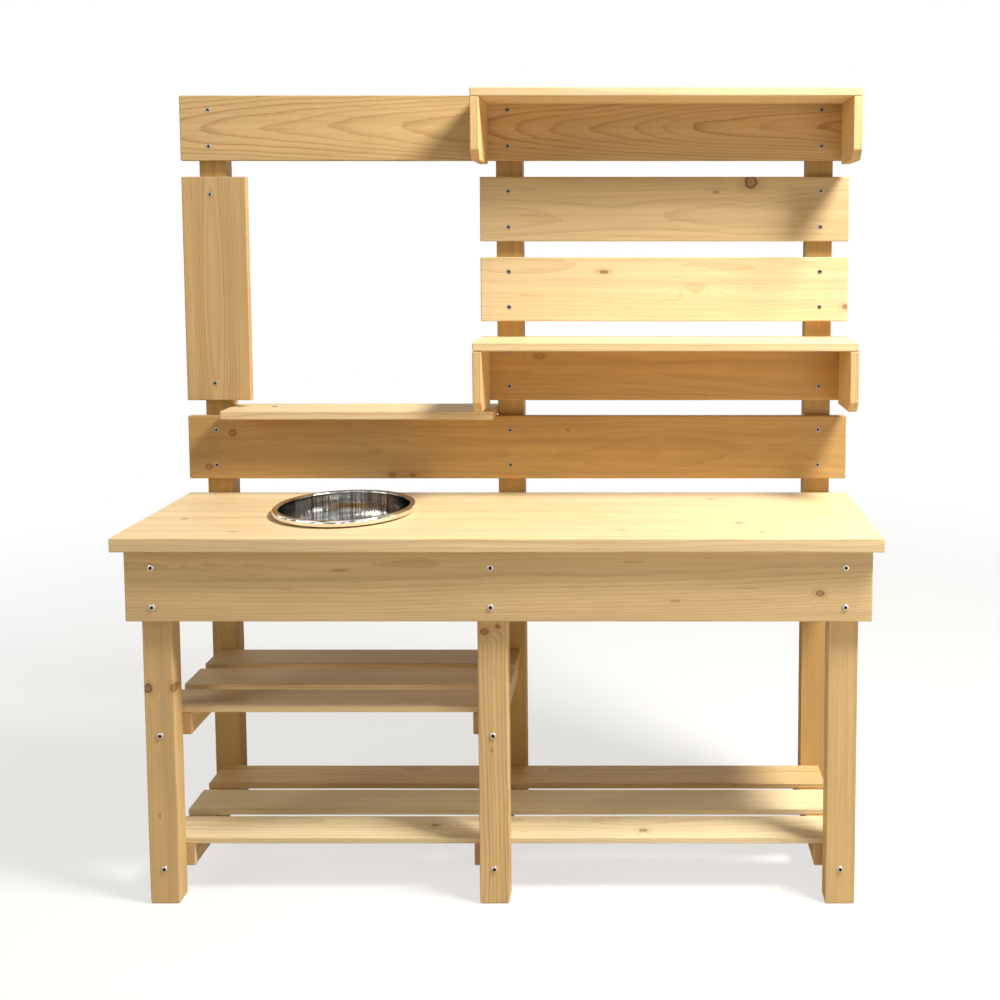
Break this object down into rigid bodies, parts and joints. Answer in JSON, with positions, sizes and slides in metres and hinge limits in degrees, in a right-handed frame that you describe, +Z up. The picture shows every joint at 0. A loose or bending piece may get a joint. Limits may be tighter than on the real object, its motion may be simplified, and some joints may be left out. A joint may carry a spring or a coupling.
{
  "type": "potting bench",
  "caption": "Small slatted softwood potting bench with a boarded back, a window opening, small shelves and a lift-out steel bowl in its worktop.",
  "frame": {"origin": "on the floor, below the middle of the bench's bounding box", "axes": "+X to the right of a person facing the bench, +Y from the front to the back boards, +Z up"},
  "size_m": [0.9998, 0.3008, 1.1019],
  "materials": {
    "softwood": "planed, untreated",
    "bowl_steel": "polished stainless steel",
    "screw_steel": "bright zinc plate"
  },
  "bodies": {
    "bench": {"worktop": "softwood", "front_apron": "softwood", "left_side_apron": "softwood", "right_side_apron": "softwood", "rear_rail": "softwood", "left_leg": "softwood", "middle_leg": "softwood", "right_leg": "softwood", "left_post": "softwood", "middle_post": "softwood", "right_post": "softwood", "middle_shelf_left_bearer": "softwood", "middle_shelf_middle_bearer": "softwood", "lower_shelf_left_bearer": "softwood", "lower_shelf_middle_bearer": "softwood", "lower_shelf_right_bearer": "softwood", "top_bearer": "softwood", "middle_shelf_slat_1": "softwood", "middle_shelf_slat_2": "softwood", "middle_shelf_slat_3": "softwood", "lower_shelf_slat_1": "softwood", "lower_shelf_slat_2": "softwood", "lower_shelf_slat_3": "softwood", "back_board_1": "softwood", "back_board_2": "softwood", "back_board_3": "softwood", "back_board_4": "softwood", "back_board_5": "softwood", "upright_board": "softwood", "window_ledge": "softwood", "upper_shelf_top": "softwood", "upper_shelf_left_bracket": "softwood", "upper_shelf_right_bracket": "softwood", "lower_back_shelf_top": "softwood", "lower_back_shelf_left_bracket": "softwood", "lower_back_shelf_right_bracket": "softwood", "apron_screw_left_upper": "screw_steel", "apron_screw_left_lower": "screw_steel", "apron_screw_middle_upper": "screw_steel", "apron_screw_middle_lower": "screw_steel", "apron_screw_right_upper": "screw_steel", "apron_screw_right_lower": "screw_steel", "middle_shelf_screw_left": "screw_steel", "middle_shelf_screw_middle": "screw_steel", "lower_shelf_screw_left": "screw_steel", "lower_shelf_screw_middle": "screw_steel", "lower_shelf_screw_right": "screw_steel", "back_screw_1_left_upper": "screw_steel", "back_screw_1_left_lower": "screw_steel", "back_screw_1_middle_upper": "screw_steel", "back_screw_1_middle_lower": "screw_steel", "back_screw_1_right_upper": "screw_steel", "back_screw_1_right_lower": "screw_steel", "back_screw_5_left_upper": "screw_steel", "back_screw_5_left_lower": "screw_steel", "back_screw_5_middle_upper": "screw_steel", "back_screw_5_middle_lower": "screw_steel", "back_screw_5_right_upper": "screw_steel", "back_screw_5_right_lower": "screw_steel"},
    "bowl": {"bowl": "bowl_steel"}
  },
  "joints": [
    {"name": "bowl_lift", "type": "slide", "parent": "bench", "child": "bowl", "axis": [0, 0, 1], "range_m": [0, 0.1]}
  ]
}
